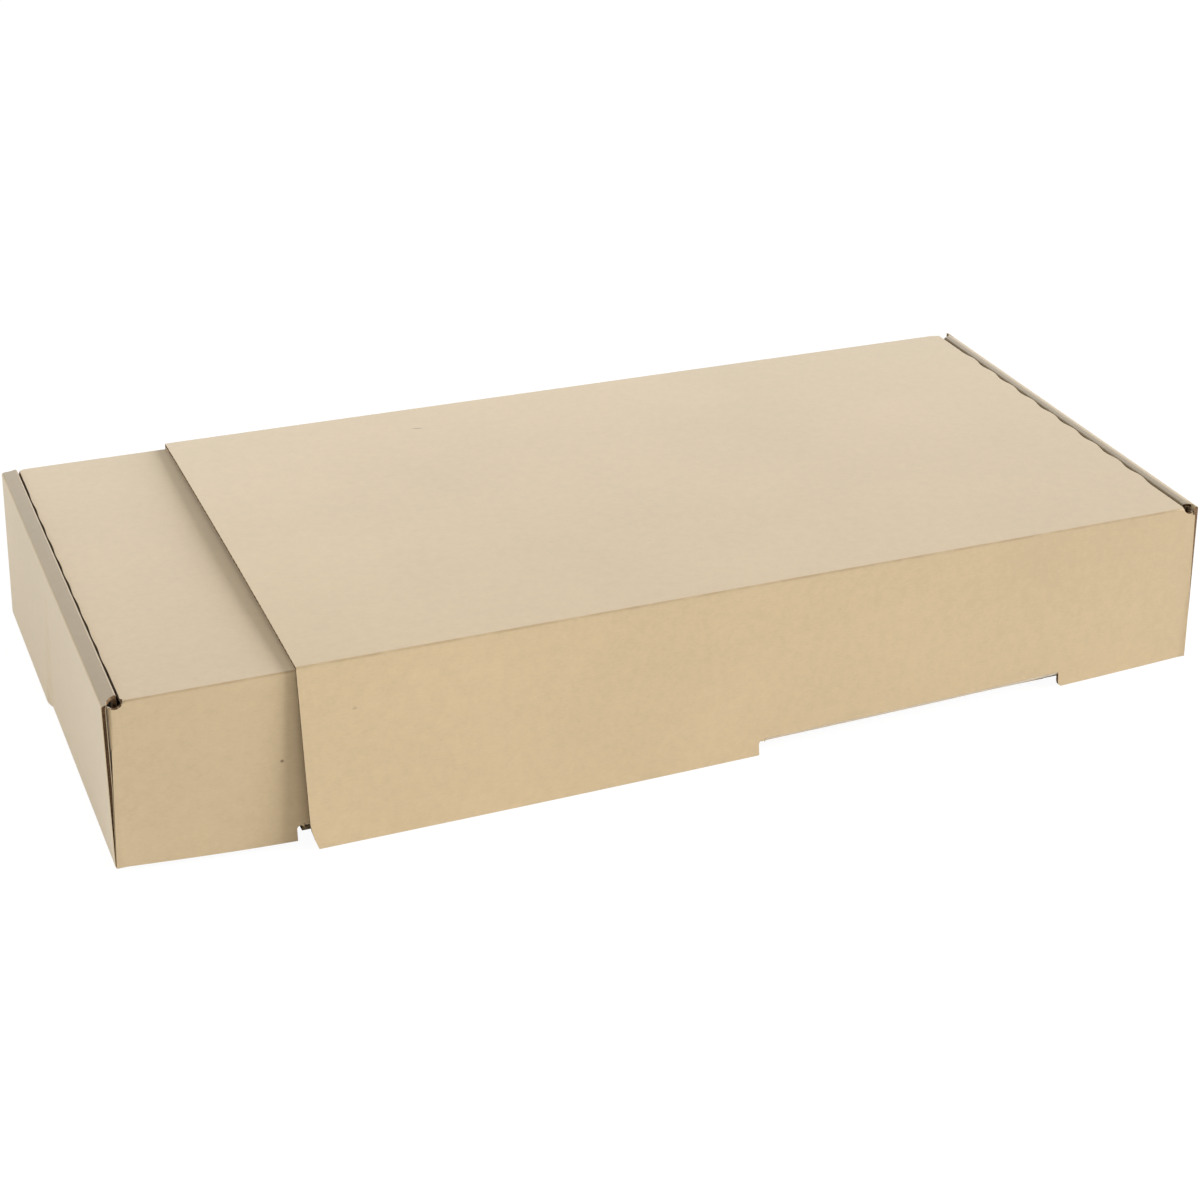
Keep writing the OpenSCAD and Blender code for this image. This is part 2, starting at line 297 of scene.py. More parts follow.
def mixed(tree, factor, a, b):
    """Colour a mixed with colour b."""
    return add_node(tree, "ShaderNodeMix", {0: factor, 6: a, 7: b}, data_type="RGBA").outputs[2]


def paper_grain_group():
    """Clouds, fibres and pulp specks of kraft paper: a tone around 1, a speck mask, a height."""
    if "paper_grain" in bpy.data.node_groups:
        return bpy.data.node_groups["paper_grain"]
    group, start, end = socket_group(
        "paper_grain",
        [
            ("Vector", "NodeSocketVector", (0, 0, 0)),
            ("Cloud", "NodeSocketFloat", 0.05),
            ("Fibre", "NodeSocketFloat", 0.05),
        ],
        ("Tone", "Speck", "Height"),
    )
    vector = start.outputs["Vector"]
    wide = noise(group, vector, scale=9.0, detail=2.0)
    cloud = noise(group, vector, scale=160.0, detail=3.0, rough=0.6)
    fibre = noise(group, stretched(group, vector, (0.35, 1.0, 1.0)),
                  scale=900.0, detail=4.0, rough=0.65)
    pulp = noise(group, stretched(group, vector, (0.5, 1.0, 1.0)), scale=420.0, detail=1.0)
    clouds = maths(group, "ADD", maths(group, "SUBTRACT", wide, 0.5),
                   maths(group, "SUBTRACT", cloud, 0.5))
    clouds = maths(group, "MULTIPLY", clouds, start.outputs["Cloud"])
    fibres = maths(group, "MULTIPLY", maths(group, "SUBTRACT", fibre, 0.5),
                   start.outputs["Fibre"])
    tone = maths(group, "ADD", maths(group, "ADD", clouds, fibres), 1.0)
    height = maths(group, "ADD", maths(group, "MULTIPLY", cloud, 0.4), fibre)
    feed(group, end.inputs["Tone"], tone)
    feed(group, end.inputs["Speck"], ramp(group, pulp, 0.82, 0.9))
    feed(group, end.inputs["Height"], height)
    return group


def spot_group():
    """Soft-edged oval spot around one point of the paper."""
    if "paper_spot" in bpy.data.node_groups:
        return bpy.data.node_groups["paper_spot"]
    group, start, end = socket_group(
        "paper_spot",
        [
            ("Vector", "NodeSocketVector", (0, 0, 0)),
            ("Centre", "NodeSocketVector", (0, 0, 0)),
            ("Turn", "NodeSocketFloat", 0.0),
            ("Radii", "NodeSocketVector", (1, 1, 1)),
        ],
        ("Mask",),
    )
    given = start.outputs
    shift = add_node(group, "ShaderNodeVectorMath", {0: given["Vector"], 1: given["Centre"]},
                     operation="SUBTRACT")
    turn = add_node(group, "ShaderNodeVectorRotate",
                    {"Vector": shift.outputs[0], "Angle": given["Turn"]},
                    rotation_type="Z_AXIS")
    shape = add_node(group, "ShaderNodeVectorMath", {0: turn.outputs[0], 1: given["Radii"]},
                     operation="DIVIDE")
    length = add_node(group, "ShaderNodeVectorMath", {0: shape.outputs[0]},
                      operation="LENGTH")
    far = ramp(group, length.outputs["Value"], 0.5, 1.2)
    feed(group, end.inputs["Mask"], maths(group, "SUBTRACT", 1.0, far))
    return group


def new_material(name):
    material = bpy.data.materials.new(name)
    material.use_nodes = True
    tree = material.node_tree
    return material, tree, tree.nodes["Principled BSDF"]


def finish_paper(tree, shader, relief, inputs):
    """Give a paper's shader its inputs and the relief of its (height, strength, distance)."""
    height, strength, distance = relief
    bump = add_node(tree, "ShaderNodeBump",
                    {"Strength": strength, "Distance": distance, "Height": height})
    for key, value in inputs.items():
        feed(tree, shader.inputs[key], value)
    feed(tree, shader.inputs["Normal"], bump.outputs["Normal"])


def kraft_material(name, shade_tint, spots):
    """Outside liner of the board, with its creases, grain, painted shade on its ridges, a darker
    tint as painted shade, and the few spots of this sheet.
    """
    colours = bpy.context.scene.carton_colours
    material, tree, shader = new_material(name)
    place = add_node(tree, "ShaderNodeTexCoord").outputs["Object"]
    grain = add_node(tree, "ShaderNodeGroup", {"Vector": place, "Cloud": 0.16, "Fibre": 0.16},
                     node_tree=paper_grain_group()).outputs
    # A tint below 1 darkens this copy of the kraft colour as painted shade
    kraft = tuple(c * t for c, t in zip(colours.kraft, shade_tint))
    crease = add_node(tree, "ShaderNodeAttribute", attribute_name="crease").outputs["Fac"]
    broken = noise(tree, place, scale=60.0, detail=2.0)
    darkening = maths(tree, "MULTIPLY", crease, ramp(tree, broken, 0.1, 0.7))
    colour = mixed(tree, maths(tree, "MULTIPLY", darkening, 0.8), kraft, colours.crease)
    # Painted shade on the ridges: the inner half's ridge is darker all over, the outer half's
    # grows darker towards its wavy edge
    ridge_shade = add_node(tree, "ShaderNodeAttribute", attribute_name="ridge_shade").outputs["Fac"]
    tone = maths(tree, "MULTIPLY", grain["Tone"], maths(tree, "SUBTRACT", 1.0, ridge_shade))
    colour = add_node(tree, "ShaderNodeVectorMath", {0: colour, "Scale": tone},
                      operation="SCALE").outputs[0]
    colour = mixed(tree, maths(tree, "MULTIPLY", grain["Speck"], 0.35), colour, colours.speck)
    for spot in spots:
        mask = add_node(tree, "ShaderNodeGroup", {
            "Vector": place, "Centre": spot.centre, "Turn": spot.turn, "Radii": spot.radii,
        }, node_tree=spot_group()).outputs["Mask"]
        colour = mixed(tree, maths(tree, "MULTIPLY", mask, spot.strength), colour,
                       colours.speck)
    rough = maths(tree, "ADD", maths(tree, "MULTIPLY", grain["Tone"], 0.25), 0.37)
    finish_paper(tree, shader, (grain["Height"], 0.25, 0.08 * MM), {
        "Base Color": colour, "Roughness": rough, "IOR": 1.5, "Sheen Weight": 0.8,
        "Sheen Roughness": 0.45, "Sheen Tint": (1.0, 0.98, 0.95),
    })
    return material


def core_material(name, colour):
    """Raw paper at a cut edge: the space between the liners, darker than the paper as painted
    shade of the hollow flutes, or the fluted medium.
    """
    material, tree, shader = new_material(name)
    place = add_node(tree, "ShaderNodeTexCoord").outputs["Object"]
    rough_cut = noise(tree, place, scale=700.0, detail=3.0, rough=0.7)
    shade = mixed(tree, ramp(tree, rough_cut, 0.35, 0.7),
                  tuple(0.72 * c for c in colour), tuple(min(1.0, 1.25 * c) for c in colour))
    finish_paper(tree, shader, (rough_cut, 0.5, 0.2 * MM), {
        "Base Color": shade, "Roughness": 0.85, "Specular IOR Level": 0.15,
    })
    return material


# Shape of the boards

def smooth(t):
    t = np.clip(t, 0.0, 1.0)
    return t * t * (3 - 2 * t)


def near_top(points, half, fade):
    """Share of each point in a change of the top, which fades out at two depths below."""
    start, full = fade
    return smooth((points[:, 2] - (half.top - start)) / (start - full))


def lift_at(points):
    """How far the outer half's top rises at each point, towards its free edge."""
    board = bpy.context.scene.carton_board
    along = np.exp(-((points[:, 0] - OUTER.open_x) / LIFT_REACH) ** 2)
    share = (points[:, 1] - OUTER.front) / (OUTER.back - OUTER.front)
    across = np.sin(np.pi * np.clip(share, 0, 1)) ** 0.8
    return board.lift * along * across * near_top(points, OUTER, LIFT_FADE)


def rounded_folds(half):
    """Folds of a half that look sharper than the CAD's.

    Each is its section's two axes, its centre in them and the signs of its quadrant.
    """
    front, back = half.front + FOLD, half.back - FOLD
    ear_x = half.end_x + half.inward * half.ear + half.inward * FOLD
    return [
        ([1, 2], (front, half.top - FOLD), (-1, 1)),
        ([1, 2], (back, half.top - FOLD), (1, 1)),
        ([1, 2], (back, half.low + FOLD), (1, -1)),
        ([0, 1], (ear_x, front), (-half.inward, -1)),
        ([0, 1], (ear_x, back), (-half.inward, 1)),
    ]


def sharpen(points, half):
    """Draw the outside of the rounded folds out to a scored fold's smaller radius."""
    notch_x = half.ridge_x - half.inward * NOTCH_SHIFT
    clear = np.hypot(points[:, 0] - notch_x, points[:, 2] - half.top) > NOTCH_CLEAR
    small = bpy.context.scene.carton_board.fold
    for axes, centre, signs in rounded_folds(half):
        off = (points[:, axes] - centre) * signs
        far = np.linalg.norm(off, axis=1)
        on = clear & (off > -1e-6).all(axis=1) & (abs(far - FOLD) < ON_FOLD)
        ray = off[on] / far[on, None]
        reach = FOLD / ray.max(axis=1)
        inner = FOLD - small
        total = ray.sum(axis=1) * inner
        rounded = total + np.sqrt(np.maximum(0, total ** 2 - 2 * inner ** 2 + small ** 2))
        reach = np.where((ray * reach[:, None]).min(axis=1) > inner, rounded, reach)
        moved = points[on]
        moved[:, axes] = np.array(centre) + ray * reach[:, None] * np.array(signs)
        points[on] = moved


def creases_at(points, half):
    """Closeness of each point to the nearest fold line of a half, from 0 to 1."""
    along_x = ((half.front, half.top), (half.back, half.top), (half.back, half.low))
    lines = [((half.ridge_x, y, z), (half.open_x, y, z)) for y, z in along_x]
    lines.append(((half.end_x, half.front, half.low), (half.end_x, half.back, half.low)))
    near = np.zeros(len(points))
    for start, end in np.array(lines):
        along = end - start
        t = np.clip(((points - start) @ along) / (along @ along), 0, 1)
        gap = np.linalg.norm(points - (start + t[:, None] * along), axis=1)
        near = np.maximum(near, np.exp(-(gap / CREASE) ** 2))
    return near


def ridge_share(points, half):
    """Place of each point across a ridge, from 0 at the end to 1, and its share of height."""
    across = (points[:, 0] - half.end_x) * half.inward / half.ridge
    return across, np.where(across < RIDGE_PAST, near_top(points, half, RIDGE_FADE), 0.0)


def wave_edge(points, half, factor):
    """Make the waves of a top panel's edge deeper or flatter."""
    on = ((abs(points[:, 0] - half.wave_x) < ON_WAVE)
          & (points[:, 2] > half.top - BOARD - JUST_INSIDE)
          & (points[:, 1] > OUTER.front + STEP + NEAR)
          & (points[:, 1] < OUTER.back - STEP - NEAR))
    points[on, 0] = half.wave_x + factor * (points[on, 0] - half.wave_x)


def shape_outer(points):
    """Slope the ridge, deepen the wavy edge, lift the free edge and slant its low corner."""
    across, high = ridge_share(points, OUTER)
    down = np.clip((across - RIDGE_LEVEL) / (1 - RIDGE_LEVEL), 0, 1)
    points[:, 2] -= RIDGE_DROP * high * down
    wave_edge(points, OUTER, OUTER_WAVES)
    points[:, 2] += lift_at(points)
    corner = ((points[:, 0] < OUTER.open_x + 3 * NEAR) & (points[:, 1] < OUTER.front + BOARD)
              & (points[:, 2] < CORNER))
    points[corner, 0] += CORNER_SLANT * (1 - points[corner, 2] / CORNER) ** CORNER_CURVE


def shape_inner(points):
    """Narrow the slot at the ridge's back end, tilt the ridge and flatten the wavy edge."""
    across, high = ridge_share(points, INNER)
    from_back = INNER.back - points[:, 1]
    slot = ((high > 0) & (from_back < SLOT_FAR) & (across < RIDGE_PAST)
            & (points[:, 0] > INNER.end_x + SLOT_IN))
    points[slot, 1] = INNER.back - SLOT_SHARE * from_back[slot]
    points[:, 2] += high * (RIDGE_TILT * np.clip(across, 0, 1) - RIDGE_SINK)
    wave_edge(points, INNER, INNER_WAVES)


# Mesh of the boards

def split_faces(bm, faces, axis, value):
    """Cut faces along a plane across an axis."""
    place, direction = Vector((0, 0, 0)), Vector((0, 0, 0))
    place[axis], direction[axis] = value, 1
    parts = dict.fromkeys(faces)
    parts.update(dict.fromkeys(e for f in faces for e in f.edges))
    parts.update(dict.fromkeys(v for f in faces for v in f.verts))
    bmesh.ops.bisect_plane(bm, geom=list(parts), dist=1e-7, plane_co=place,
                           plane_no=direction)


def refined(half, ridge_shares, corner_shares):
    """Solid of a half as one clean mesh, with lines where its top, ridge and corner bend."""
    grid = bpy.context.scene.carton_board.grid
    bm = bmesh.new()
    bm.from_mesh(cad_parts[half.name].data)
    bmesh.ops.remove_doubles(bm, verts=bm.verts, dist=2e-6)
    bmesh.ops.dissolve_limit(bm, angle_limit=math.radians(0.05), verts=bm.verts,
                             edges=bm.edges)
    low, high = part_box(half.name)
    cuts = [(0, half.end_x + half.inward * half.ridge * t) for t in ridge_shares]
    for axis in range(2):
        count = int((high[axis] - low[axis]) / grid)
        cuts += [(axis, low[axis] + (high[axis] - low[axis]) * i / (count + 1))
                 for i in range(1, count + 1)]
    for axis, value in cuts:
        top = [f for f in bm.faces if f.calc_center_median().z > high.z - TOP_BAND]
        split_faces(bm, top, axis, value)
    for share in corner_shares:
        corner = [f for f in bm.faces if f.calc_center_median().y < half.front + FOLD
                  and min(v.co.x for v in f.verts) < half.open_x + MM]
        split_faces(bm, corner, 2, CORNER * share)
    bm.normal_update()
    return bm


def is_liner(half, centre, normal):
    """Whether a face is liner even where the board behind it is deep.

    That is so on the ridge, the end wall and the front, and on the fold where the front
    flap's raised edge turns in.
    """
    inside = (centre.x - half.end_x) * half.inward
    ridge = inside < half.ridge + 2 * NEAR and centre.z > half.top - 4 * MM
    end = inside < NEAR and normal.x * half.inward < -FACING
    front = normal.y < -FACING and (centre.y < half.front + NEAR or centre.z < BOARD)
    raised = half.low + RAISED
    turned_in = (normal.z < -0.15 and centre.y < half.front + FOLD
                 and raised - NEAR < centre.z < raised + BOARD + NEAR)
    return ridge and abs(normal.y) < 0.5 or end or front or turned_in


def board_behind(tree, face):
    """Distance from a face straight back to the next one, or None."""
    start = face.calc_center_median() - face.normal * JUST_INSIDE
    return tree.ray_cast(start, -face.normal)[3]


def cut_edges(bm, half):
    """Faces of a board's cut edges: those whose board is deeper than it is thick."""
    tree = BVHTree.FromBMesh(bm)
    found = []
    for face in bm.faces:
        if is_liner(half, face.calc_center_median(), face.normal):
            continue
        depth = board_behind(tree, face)
        if depth is None or not THROUGH_BOARD[0] < depth < THROUGH_BOARD[1]:
            found.append(face)
    return found


def regions_of(faces):
    """Connected groups of faces that hardly bend from one to the next."""
    left, groups = dict.fromkeys(faces), []
    while left:
        group, queue = [], [left.popitem()[0]]
        while queue:
            face = queue.pop()
            group.append(face)
            for edge in face.edges:
                for other in edge.link_faces:
                    if other in left and other.normal.dot(face.normal) > SAME_EDGE:
                        del left[other]
                        queue.append(other)
        groups.append(group)
    return groups


def strip_width(group):
    """Mean width of a long strip of faces."""
    inside = set(group)
    rim = sum(edge.calc_length() for face in group for edge in face.edges
              if sum(other in inside for other in edge.link_faces) == 1)
    return 2 * sum(face.calc_area() for face in group) / rim


def open_channels(bm, edges):
    """Sink the middle of each cut edge between its two liners, and list the dark faces.

    A narrow edge, or one with too little board behind it, stays level and only turns dark with
    painted shade.
    A wide one isn't a single board's and stays as it is.
    """
    board = bpy.context.scene.carton_board
    tree = BVHTree.FromBMesh(bm)
    dark = []
    for group in regions_of(edges):
        width = strip_width(group)
        if width >= WIDE_EDGE:
            continue
        depth = min(board_behind(tree, face) or 1 for face in group)
        if width <= NARROW_EDGE or depth < board.channel + board.liner:
            dark += group
            continue
        bmesh.ops.inset_region(bm, faces=group, use_even_offset=False,
                               thickness=board.liner)
        walls = bmesh.ops.inset_region(bm, faces=group, use_even_offset=False,
                                       thickness=0, depth=-board.channel)["faces"]
        dark += group + walls
    return dark


def calm_front(mesh):
    """Let the leaning front flap be shaded as one smooth sheet along its length."""
    normals = np.empty(3 * len(mesh.loops), np.float32)
    mesh.corner_normals.foreach_get("vector", normals)
    normals = normals.reshape(-1, 3)
    facing = np.empty(3 * len(mesh.polygons), np.float32)
    mesh.polygons.foreach_get("normal", facing)
    corners = np.empty(len(mesh.polygons), np.int32)
    mesh.polygons.foreach_get("loop_total", corners)
    front = np.repeat(facing[1::3] < -FACING, corners)
    normals[front, 0] *= FRONT_CALM
    mesh.normals_split_custom_set(normals.tolist())


def linked(name, data):
    """New object in the scene."""
    thing = bpy.data.objects.new(name, data)
    bpy.context.scene.collection.objects.link(thing)
    return thing


def store(mesh, name, kind, key, values):
    """Keep values at each point of a mesh, for a material or a modifier to read."""
    attribute = mesh.attributes.new(name, kind, "POINT")
    attribute.data.foreach_set(key, np.array(values, np.float32).ravel())


def evaluated(thing):
    """Plain mesh of an object as its modifiers leave it."""
    bpy.context.view_layer.update()
    return bpy.data.meshes.new_from_object(
        thing.evaluated_get(bpy.context.evaluated_depsgraph_get()))


def dressed_half(half, shape, darkening, slots, ridge_shares=(), corner_shares=()):
    """Copy of a half's solid as a finer mesh, with open channels at its cut edges.

    The ridge's painted shade is (strength, start, width), the last two as shares across the
    ridge.
    """
    bm = refined(half, ridge_shares, corner_shares)
    edges = cut_edges(bm, half)
    points = np.array([v.co for v in bm.verts], float)
    sharpen(points, half)
    shape(points)
    for vert, point in zip(bm.verts, points):
        vert.co = point
    for face in bm.faces:
        face.smooth = True
    for face in edges:
        face.smooth = False
    dark = set(open_channels(bm, edges))
    for face in bm.faces:
        face.material_index = int(face in dark)
    for face in dark:
        face.smooth = False
    mesh = bpy.data.meshes.new(half.name + "_board")
    bm.to_mesh(mesh)
    bm.free()
    points = np.array([v.co for v in mesh.vertices], float)
    store(mesh, "crease", "FLOAT", "value", creases_at(points, half))
    # Painted shade on the ridge, kept at each point for the material
    strength, start, width = darkening
    across, high = ridge_share(points, half)
    store(mesh, "ridge_shade", "FLOAT", "value", strength * high * smooth((across - start) / width))
    for material in slots:
        mesh.materials.append(material)
    mesh.set_sharp_from_angle(angle=math.radians(32))
    piece = linked(half.name + "_board", mesh)
    even = piece.modifiers.new("even_normals", "WEIGHTED_NORMAL")
    even.keep_sharp = True
    even.weight = 50
    whole = evaluated(piece)
    piece.modifiers.clear()
    calm_front(whole)
    piece.data = whole
    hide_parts(half.name)
    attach(piece, half.name)
    return piece


# Fluted paper

def flute_tree():
    """Geometry nodes that set one wave of the fluted paper at each pitch along the guides."""
    group = bpy.data.node_groups.new("flute_row", "GeometryNodeTree")
    numbers = [(label, "INPUT", "Float") for label in ("Pitch", "Rise", "Medium", "Depth")]
    for label, way, kind in [("Guides", "INPUT", "Geometry"), *numbers,
                             ("Material", "INPUT", "Material"),
                             ("Flutes", "OUTPUT", "Geometry")]:
        group.interface.new_socket(name=label, in_out=way, socket_type="NodeSocket" + kind)
    given = add_node(group, "NodeGroupInput").outputs

    def made(kind, inputs=None, **settings):
        return add_node(group, kind, inputs, **settings).outputs[0]

    # One wave along X, with its rise along Y and its depth along Z
    first, last = (made("ShaderNodeCombineXYZ", {
        "X": maths(group, "MULTIPLY", given["Pitch"], share),
    }) for share in (-0.5, 0.5))
    line = made("GeometryNodeCurvePrimitiveLine", {"Start": first, "End": last})
    fine = made("GeometryNodeResampleCurve", {"Curve": line, "Count": 15}, mode="COUNT")
    turn = maths(group, "MULTIPLY", made("GeometryNodeSplineParameter"), 2 * math.pi)
    rise = maths(group, "MULTIPLY", maths(group, "SINE", turn), given["Rise"])
    bent = made("GeometryNodeSetPosition",
                {"Geometry": fine, "Offset": made("ShaderNodeCombineXYZ", {"Y": rise})})
    upright = made("GeometryNodeSetCurveNormal", {"Curve": bent}, mode="Z_UP")
    section = made("GeometryNodeCurvePrimitiveQuadrilateral",
                   {"Width": given["Medium"], "Height": given["Depth"]})
    wave = made("GeometryNodeCurveToMesh", {"Curve": upright, "Profile Curve": section})

    # The waves side by side along each guide
    curves = made("GeometryNodeMeshToCurve", {"Mesh": given["Guides"]})
    spaced = made("GeometryNodeResampleCurve", {"Curve": curves, "Length": given["Pitch"]},
                  mode="LENGTH")
    ahead = made("FunctionNodeAlignRotationToVector",
                 {"Vector": made("GeometryNodeInputTangent")}, axis="X")
    across = made("GeometryNodeInputNamedAttribute", {"Name": "across"},
                  data_type="FLOAT_VECTOR")
    square = made("FunctionNodeAlignRotationToVector", {"Rotation": ahead, "Vector": across},
                  axis="Y", pivot_axis="X")
    placed = made("GeometryNodeInstanceOnPoints",
                  {"Points": spaced, "Instance": wave, "Rotation": square})
    real = made("GeometryNodeRealizeInstances", {"Geometry": placed})
    dressed = made("GeometryNodeSetMaterial",
                   {"Geometry": real, "Material": given["Material"]})
    add_node(group, "NodeGroupOutput", {"Flutes": dressed})
    return group


def flute_rows(half, guides, material):
    """Fluted paper in a half's open channels, along guides of (points, thickness direction)."""
    board = bpy.context.scene.carton_board
    points, edges, sides = [], [], []
    for row, side in guides:
        first = len(points)
        points += row
        sides += [side] * len(row)
        edges += [(first + i, first + i + 1) for i in range(len(row) - 1)]
    name = half.name + "_flutes"
    mesh = bpy.data.meshes.new(name + "_guides")
    mesh.from_pydata(points, edges, [])
    store(mesh, "across", "FLOAT_VECTOR", "vector", sides)
    rail = linked(name + "_guides", mesh)
    tree = bpy.data.node_groups.get("flute_row") or flute_tree()
    modifier = rail.modifiers.new("flutes", "NODES")
    modifier.node_group = tree
    values = {
        "Pitch": board.flute_pitch,
        "Rise": BOARD / 2 - board.liner - board.medium / 2,
        "Medium": board.medium,
        "Depth": board.channel - FLUTE_START,
        "Material": material,
    }
    for item in tree.interface.items_tree:
        if item.in_out == "INPUT" and item.name in values:
            modifier[item.identifier] = values[item.name]
    baked = evaluated(rail)
    bpy.data.objects.remove(rail)
    piece = linked(name, baked)
    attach(piece, half.name)
    return piece


def guide(start, end, side, lift=None):
    """Row of points along a straight cut edge, kept clear of its ends."""
    start, end = np.array(start), np.array(end)
    length = np.linalg.norm(end - start)
    clear = (0.5 * bpy.context.scene.carton_board.flute_pitch + GUIDE_CLEAR) / length
    steps = max(2, int(length / GUIDE_STEP))
    points = start + np.linspace(clear, 1 - clear, steps)[:, None] * (end - start)
    if lift:
        points[:, 2] += lift(points)
    return [tuple(p) for p in points], side


def flute_middle():
    """How far behind a cut edge the middle of its fluted paper is."""
    return (bpy.context.scene.carton_board.channel + FLUTE_START) / 2


def wave_guide(half):
    """Guide along the channel of a top panel's wavy edge."""
    x = half.wave_x + half.inward * (WAVE + flute_middle())
    z = half.top - BOARD / 2
    return guide((x, half.front + FOLD, z), (x, half.back - FOLD, z), (0, 0, 1))


class CARTON_OT_outer_half(bpy.types.Operator):
    """Outer half: the sleeve with its lifted free edge, ridge and leaning front flap"""

    bl_idname = "carton.outer_half"
    bl_label = "Outer half"

    def execute(self, context):
        colours = context.scene.carton_colours
        slots = [
            kraft_material("kraft_outer_half", (1, 1, 1), OUTER_SPOTS),
            core_material("cut_edge_outer_half", colours.core),
        ]
        piece = dressed_half(OUTER, shape_outer, OUTER_RIDGE_SHADE, slots, RIDGE_SHARES,
                             CORNER_SHARES)

        x, half_board = OUTER.open_x + flute_middle(), BOARD / 2
        front, back, top = OUTER.front, OUTER.back, OUTER.top
        flap = front - FLARE * (1 - CORNER / top) + half_board
        guides = [
            guide((x, front + FOLD, top - half_board), (x, back - FOLD, top - half_board),
                  (0, 0, 1), lift_at),
            guide((x, front + half_board, top - FOLD), (x, flap, CORNER), (0, 1, 0)),
            guide((x, back - half_board, top - FOLD), (x, back - half_board, FOLD),
                  (0, 1, 0)),
            guide((x, front + BASE_INSET, half_board), (x, back - FOLD, half_board),
                  (0, 0, 1)),
            wave_guide(OUTER),
        ]
        flute_rows(OUTER, guides,
                   core_material("flute_paper_outer", colours.medium))
        return {"FINISHED"}


class CARTON_OT_inner_half(bpy.types.Operator):
    """Inner half: the tray that slides in, with its roll-over end wall and ears"""

    bl_idname = "carton.inner_half"
    bl_label = "Inner half"

    def execute(self, context):
        colours = context.scene.carton_colours
        slots = [
            kraft_material("kraft_inner_half", INNER_SHADE_TINT, INNER_SPOTS),
            core_material("cut_edge_inner_half", colours.core),
        ]
        piece = dressed_half(INNER, shape_inner, INNER_RIDGE_SHADE, slots)
        flute_rows(INNER, [wave_guide(INNER)],
                   core_material("flute_paper_inner", colours.medium))
        return {"FINISHED"}


# Stage

# The camera, fitted to the carton's corners in the photograph
PHOTO = 1200  # pixels along either side
FOCAL = 2531.79  # focal length in pixels
AXIS_X, AXIS_Y = 808.571, 438.731  # pixel that the camera points at
SENSOR = 36
EYE = (-0.52073, -1.38778, 0.76683)
EYE_RIGHT = (0.905879, -0.422668, 0.027117)
EYE_DOWN = (-0.140778, -0.360868, -0.921931)
EYE_FORWARD = (0.399456, 0.831340, -0.386405)

FLOOR_HALF = 9.0
FLOOR_WHITE = (0.95, 0.95, 0.95)
FLOOR_GLOW = 1.06  # brings the floor up to the photograph's plain white
GLOW_SHARE = 0.9
SKY_COLOUR, SKY_STRENGTH = (1.0, 0.94, 0.84), 0.43


def lamp(name, kind, place, target, power, colour=(1, 1, 1)):
    """Lamp that shines from a place towards a target."""
    light = bpy.data.lights.new(name, kind)
    light.energy = power
    light.color = colour
    holder = linked(name, light)
    holder.location = place
    direction = Vector(target) - Vector(place)
    holder.rotation_euler = direction.to_track_quat("-Z", "Y").to_euler()
    return light


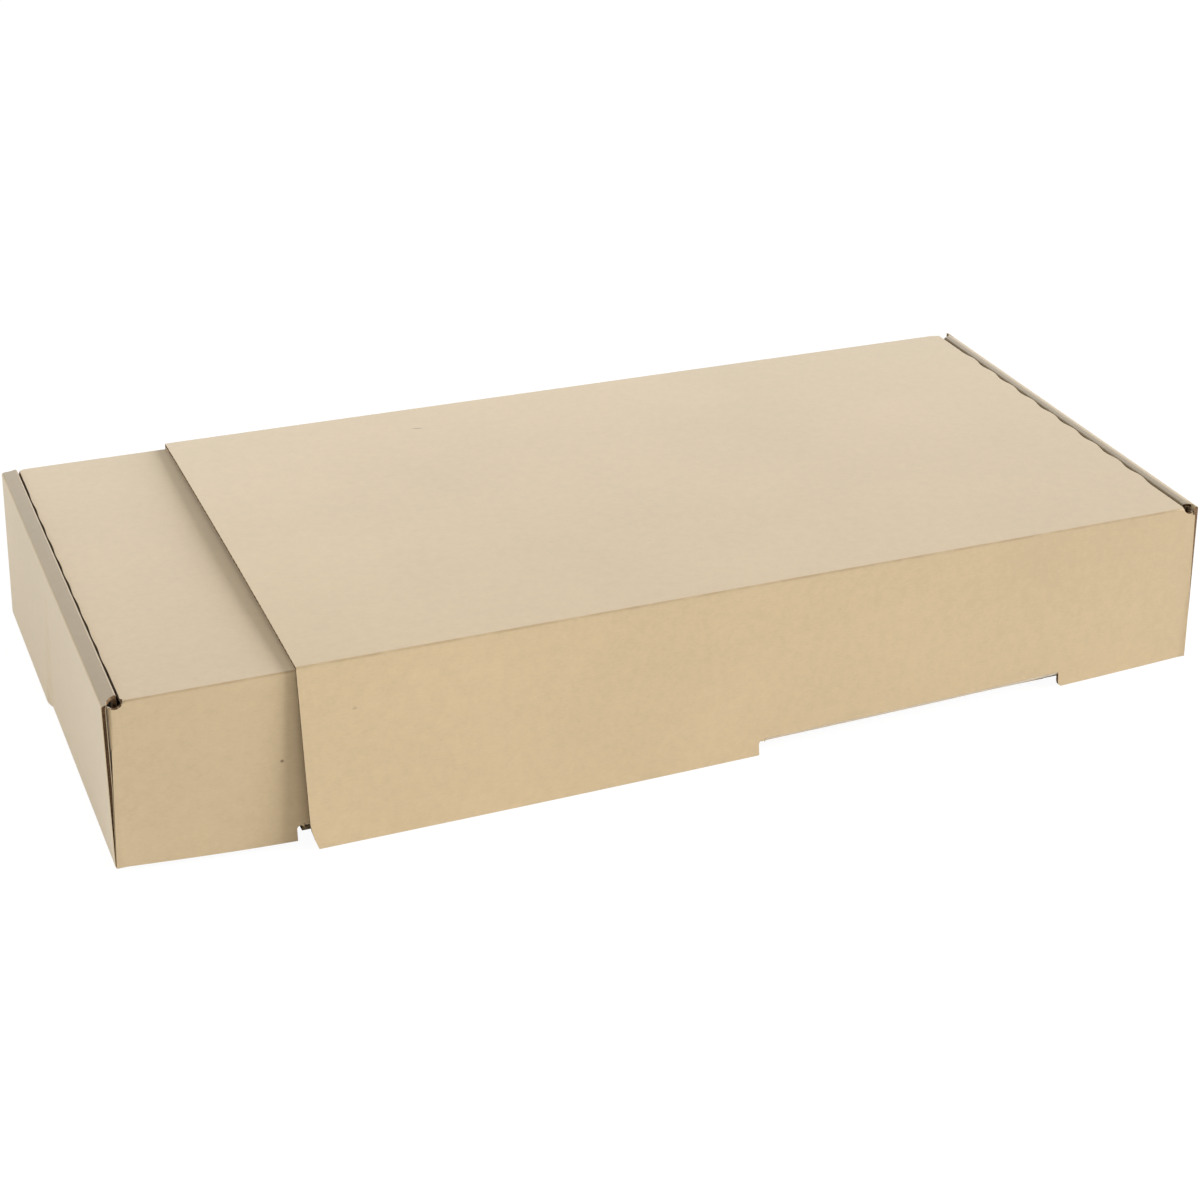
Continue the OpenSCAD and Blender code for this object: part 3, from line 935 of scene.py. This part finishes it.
class CARTON_OT_stage(bpy.types.Operator):
    """Stage: white floor and background, soft lamps, and the photograph's camera"""

    bl_idname = "carton.stage"
    bl_label = "Stage"

    def execute(self, context):
        scene = context.scene
        scene.view_settings.view_transform = "Standard"
        self.camera(scene)
        self.world(scene)
        self.floor(scene)
        key = lamp("key_right", "SUN", place=(4.5, -1.58, 1.42), target=(0, 0, 0),
                   power=3.55, colour=(1.0, 0.995, 0.985))
        key.angle = math.radians(28)
        fill = lamp("fill_left", "AREA", place=(-3.0, 0.7, 0.34), target=(-0.34, 0, 0.05),
                    power=56, colour=(0.91, 0.96, 1.0))
        fill.size = 1.4
        soft = lamp("top_soft", "AREA", place=(0.0, 0.5, 2.2), target=(0, 0, 0), power=5)
        soft.size = 2.4
        return {"FINISHED"}

    def camera(self, scene):
        data = bpy.data.cameras.new("view")
        data.sensor_width = SENSOR
        data.lens = FOCAL / PHOTO * SENSOR
        data.shift_x = (PHOTO / 2 - AXIS_X) / PHOTO
        data.shift_y = (AXIS_Y - PHOTO / 2) / PHOTO
        right, down, forward = Vector(EYE_RIGHT), Vector(EYE_DOWN), Vector(EYE_FORWARD)
        turn = Matrix((right, -down, -forward)).transposed()
        scene.camera = linked("view", data)
        scene.camera.matrix_world = Matrix.Translation(EYE) @ turn.to_4x4()

    def world(self, scene):
        world = bpy.data.worlds.new("studio")
        scene.world = world
        world.use_nodes = True
        tree = world.node_tree
        tree.nodes.clear()
        path = add_node(tree, "ShaderNodeLightPath").outputs
        seen = maths(tree, "MAXIMUM", path["Is Camera Ray"], path["Is Transmission Ray"])
        seen = maths(tree, "MAXIMUM", seen, path["Is Glossy Ray"])
        sky = add_node(tree, "ShaderNodeBackground",
                       {"Color": SKY_COLOUR, "Strength": SKY_STRENGTH})
        plain = add_node(tree, "ShaderNodeBackground", {"Color": scene.carton_colours.ground})
        mix = add_node(tree, "ShaderNodeMixShader",
                       {0: seen, 1: sky.outputs[0], 2: plain.outputs[0]})
        add_node(tree, "ShaderNodeOutputWorld", {0: mix.outputs[0]})

    def floor(self, scene):
        mesh = bpy.data.meshes.new("floor")
        signs = ((-1, -1), (1, -1), (1, 1), (-1, 1))
        mesh.from_pydata([(x * FLOOR_HALF, y * FLOOR_HALF, 0) for x, y in signs], [],
                         [(0, 1, 2, 3)])
        floor = linked("floor", mesh)
        material, tree, shader = new_material("floor_white")
        feed(tree, shader.inputs["Base Color"], FLOOR_WHITE)
        feed(tree, shader.inputs["Roughness"], 0.9)
        path = add_node(tree, "ShaderNodeLightPath").outputs
        glow = add_node(tree, "ShaderNodeEmission",
                        {"Color": scene.carton_colours.ground, "Strength": FLOOR_GLOW})
        mix = add_node(tree, "ShaderNodeMixShader", {
            0: maths(tree, "MULTIPLY", path["Is Camera Ray"], GLOW_SHARE),
            1: shader.outputs[0], 2: glow.outputs[0],
        })
        feed(tree, tree.nodes["Material Output"].inputs[0], mix.outputs[0])
        mesh.materials.append(material)


class CARTON_PT_maker(bpy.types.Panel):
    """Makes the carton's pieces one by one"""

    bl_idname = "CARTON_PT_maker"
    bl_label = "Carton"
    bl_space_type = "VIEW_3D"
    bl_region_type = "UI"
    bl_category = "Carton"

    def draw(self, context):
        for group in (context.scene.carton_board, context.scene.carton_colours):
            for name in group.__annotations__:
                self.layout.prop(group, name)
        for name in PIECES:
            self.layout.operator("carton." + name)


PIECES = ("stage", "outer_half", "inner_half")
CLASSES = (
    CartonBoard, CartonColours, CARTON_OT_outer_half, CARTON_OT_inner_half,
    CARTON_OT_stage, CARTON_PT_maker,
)


def register():
    for cls in CLASSES:
        bpy.utils.register_class(cls)
    bpy.types.Scene.carton_board = bpy.props.PointerProperty(type=CartonBoard)
    bpy.types.Scene.carton_colours = bpy.props.PointerProperty(type=CartonColours)


def unregister():
    del bpy.types.Scene.carton_board
    del bpy.types.Scene.carton_colours
    for cls in reversed(CLASSES):
        bpy.utils.unregister_class(cls)


def main():
    register()
    for name in PIECES:
        getattr(bpy.ops.carton, name)()


if __name__ == "__main__":
    main()
